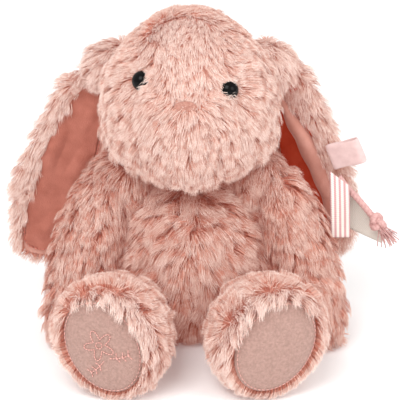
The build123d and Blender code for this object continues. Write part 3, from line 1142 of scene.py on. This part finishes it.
def ring_of(radii):
    """A closed outline round the flower's middle, from its radius at evenly spaced angles."""
    turn = np.linspace(0, 2 * math.pi, len(radii))
    return np.stack([radii * np.cos(turn), radii * np.sin(turn)], 1)


def stem(share, mirror):
    """A place along the curved stem of the sprig on one side."""
    return np.stack([-9.0 - 6.0 * share + 3.0 * share**2, mirror * (2.0 + 11.0 * share)], -1)


# A flower and two sprigs, sewn tone on tone on the right sole, in millimetres.
middle, long_way, short_way, out, long_radius, short_radius = sole_frames["right"]
sole_tree = tree_of(skins["sole_right_pad"].data)
PETALS = 6.2 + 2.6 * np.cos(5 * np.linspace(0, 2 * math.pi, 100))
drawn = [ring_of(PETALS), ring_of(np.full(100, 1.8))]
for mirror in (-1, 1):
    drawn.append(stem(np.linspace(0, 1, 30), mirror))
    for share in (0.3, 0.6, 0.9):
        for leaf in ((-3.2, mirror * 1.2), (3.0, mirror * 1.6)):
            drawn.append(stem(share, mirror) + np.outer(np.linspace(0, 1, 8), leaf))
lines = []
for flat in drawn:
    raised = []
    for x, y in (flat + (2.0, 0.0)) * MM:
        over = middle + long_way * x + short_way * y + out * 12 * MM
        hit = sole_tree.ray_cast(Vector(over), Vector(-out))[0]
        raised.append(np.array(hit) + out * 0.15 * MM)
    lines.append(np.array(raised))
motif = stitched("sole_right_motif", lines, out, "leg_right", THREAD, 1.5 * MM, THREAD_SIZE)

# ---------------------------------------------------------------- velour rolled over on the left ear
ROLL_RADIUS = 5.0 * MM
ROLL_STAND = 0.55  # share of its radius by which the roll's middle stands off the velour
ROLL_SMOOTHING = 12
ROLL_ROUTE = [
    (51.0, 4.0, 148.0),
    (59.0, 1.0, 133.0),
    (68.0, 1.5, 117.0),
    (75.0, 3.0, 103.0),
    (82.0, 7.0, 88.0),
    (87.0, 12.0, 70.0),
    (90.0, 18.0, 55.0),
]
roll_line = even(route_line("roll_route", ROLL_ROUTE, 16), 70)
# It lies on the velour, so each of its points slides back along the line of sight until it touches.
eye_point = np.array(camera.location)
for i, point in enumerate(roll_line):
    sight = unit(point - eye_point)
    hit = trees["ear_left_velour"].ray_cast(Vector(eye_point), Vector(sight))[0]
    if hit is None:
        hit = trees["ear_left_skin"].ray_cast(Vector(eye_point), Vector(sight))[0]
    if hit is not None:
        roll_line[i] = np.array(hit) - sight * ROLL_RADIUS * ROLL_STAND
for _ in range(ROLL_SMOOTHING):
    roll_line[1:-1] = (roll_line[:-2] + roll_line[1:-1] * 2 + roll_line[2:]) / 4


def rolled(angles, share):
    """A flattened, slightly wrinkled roll that tapers in at both ends."""
    ends = np.clip(min(share / 0.22, (1 - share) / 0.12), 0.02, 1) ** 0.5
    return ends * (1 + 0.10 * np.sin(2 * angles + 9 * share) + 0.07 * np.sin(31 * share + angles))


# The roll wears the lighter velour with its painted sheen.
roll = tube("ear_left_roll", roll_line, ROLL_RADIUS, 28, rolled, LIT_ROLL_VELOUR)


# ---------------------------------------------------------------- trims sewn to the left ear
def strip_axes(node):
    """Middle, downward, sideways and front directions of a flat strip, with half its length and width."""
    corners = np.unique(np.round(points_of(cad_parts[node].data), 6), axis=0)
    spread = axes_of(corners)
    down = turned(spread[0], 2, -1)
    front = turned(spread[2], 1, -1)
    aside = turned(np.cross(down, front), 0, 1)
    middle = (corners.min(0) + corners.max(0)) / 2
    reach = np.abs((corners - middle) @ down).max()
    return middle, down, aside, front, reach, np.abs((corners - middle) @ aside).max()


TAPE_THICKNESS = 0.35 * MM
TAPE_ACROSS = 9
TAPE_DOWN = 26


def loop_of_tape(name, node, body, material, shape):
    """A folded loop of thin tape hanging from its seam, with the loop's flat length and width.

    shape gives a point's shift aside, down and to the front from its shares across and down.
    """
    middle, down, aside, front, reach, half = strip_axes(node)
    rows = []
    for leaf in (1, -1):
        for v in np.linspace(0, 1, TAPE_DOWN)[::leaf]:
            row = []
            for u in np.linspace(0, 1, TAPE_ACROSS):
                x, y, z = shape(u, v, leaf)
                over = half * (2 * u - 1) + x * MM
                along = reach * (2 * v - 1) + y * MM
                row.append(middle + aside * over + down * along + front * z * MM)
            rows.append(row)
    made = shown(name, grid_mesh(name, rows), material, body)
    solid = made.modifiers.new("cloth", "SOLIDIFY")
    solid.thickness = TAPE_THICKNESS
    solid.offset = 0.0
    dress(applied(made), material)
    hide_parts(node)
    return made, 4 * reach, 2 * half


def ribbon_shape(u, v, leaf):
    """Straight down, cut slantwise at the seam, the two leaves a little apart and gently cupped."""
    slant = (1 - v) ** 2 * (-3.0 + 9.0 * u)
    cup = 0.5 * (2 * u - 1) ** 2 + 0.5 * math.sin(math.pi * v * 1.6)
    return 0.0, slant, leaf * (0.25 + 0.75 * math.sin(math.pi * min(v, 0.97))) + cup


def label_shape(u, v, leaf):
    """Widest at its seam and narrowing to the fold, curling towards the camera along its lower edge."""
    narrow = (0.5 - u) * (-7.0 + 12.0 * v)
    curl = 1.2 * (1 - u) ** 2 * v + 0.5 * math.sin(3 * v)
    return narrow, 1.5 * (u - 0.5) * v, leaf * (0.2 + 0.6 * math.sin(math.pi * min(v, 0.97))) + curl


ribbon, ribbon_long, ribbon_wide = loop_of_tape(
    "striped_ribbon_loop", "striped_ribbon", "ribbon", RIBBON_WEAVE, ribbon_shape
)
label, label_long, label_wide = loop_of_tape(
    "woven_label_loop", "woven_label", "label", LABEL_WEAVE, label_shape
)

TAB_FULLNESS = np.array([1.04, 1.15, 1.04])
tab = even_copy("velvet_tab_loop", "velvet_tab", 0.7 * MM)
co = points_of(tab.data)
bulge = ripple(co, 15 * MM, 3)[:, :1] * 0.5 * MM + 0.3 * MM
tab_middle = (co.min(0) + co.max(0)) / 2
set_points(tab.data, tab_middle + (co - tab_middle) * TAB_FULLNESS + normals_of(tab.data) * bulge)
soften = tab.modifiers.new("soften", "SMOOTH")
soften.iterations = 60
soften.factor = 0.5
applied(tab)
dress(tab, VELVET)
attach(tab, "ear_left")
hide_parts("velvet_tab")

# ---------------------------------------------------------------- the rope's knot and frayed end
KNOT_SIZE = np.array([1.35, 1.15, 1.7]) * MM  # along the rope, upwards and sideways
KNOT_ROPE = 2.2 * MM  # radius of the rope in the knot
KNOT_TWIST = 44.0
rope_heading = unit(rope_line[-1] - rope_line[-4])
knot_side = unit(np.cross(rope_heading, UP))
knot_rise = np.cross(knot_side, rope_heading)
knot_middle = rope_line[-1] + rope_heading * 3.6 * MM
turn = np.linspace(0, 2 * math.pi, 90)[:-1]
trefoil = [np.sin(turn) + 2 * np.sin(2 * turn), np.cos(turn) - 2 * np.cos(2 * turn), -np.sin(3 * turn)]
knot_line = knot_middle + (np.stack(trefoil, 1) * KNOT_SIZE) @ np.array([rope_heading, knot_rise, knot_side])
knot = tube("rope_knot_turns", knot_line, KNOT_ROPE, 22, strands(KNOT_TWIST), ROPE_YARN)
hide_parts("rope_knot")

YARN_COUNT = 46
YARN_RADIUS = 0.3 * MM
YARN_SAG = 1.2 * MM
rng = np.random.default_rng(77)
fray_from = knot_middle + rope_heading * 2.5 * MM
along = np.linspace(0, 1, 9)[:, None]
yarns = []
for _ in range(YARN_COUNT):
    heading = unit(rope_heading + rng.normal(size=3) * 0.24)
    length = rng.uniform(8.5, 13.0) * MM
    start = fray_from + rng.normal(size=3) * 0.8 * MM
    wave = np.outer(np.sin(along[:, 0] * 9 + rng.uniform(0, 6)), unit(rng.normal(size=3))) * 0.35 * MM * along
    yarn = start + heading * along * length + wave - UP * along**2 * YARN_SAG
    yarns.append(tube_rows(yarn, YARN_RADIUS, 5))
tassel = shown("rope_frayed_end", joined("rope_frayed_end", yarns), ROPE_YARN, "ear_left")
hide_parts("rope_tassel")

# ---------------------------------------------------------------- solids that stay as they are
CARRIED = {
    "eye_left": BEAD,
    "eye_right": BEAD,
    "nose": NOSE_VELVET,
    "eye_washer_left": WASHER,
    "eye_washer_right": WASHER,
    "bean_pouch": POUCH,
    "pellets": PELLETS,
}
for name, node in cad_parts.items():
    material = CARRIED.get(name, FILLING if name.endswith("_filling") else None)
    if material is not None:
        node.data.materials.clear()
        node.data.materials.append(material)

# ---------------------------------------------------------------- size and finish
for side in SIDES:
    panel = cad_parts[f"ear_{side}_lining"].data
    corners = points_of(panel)
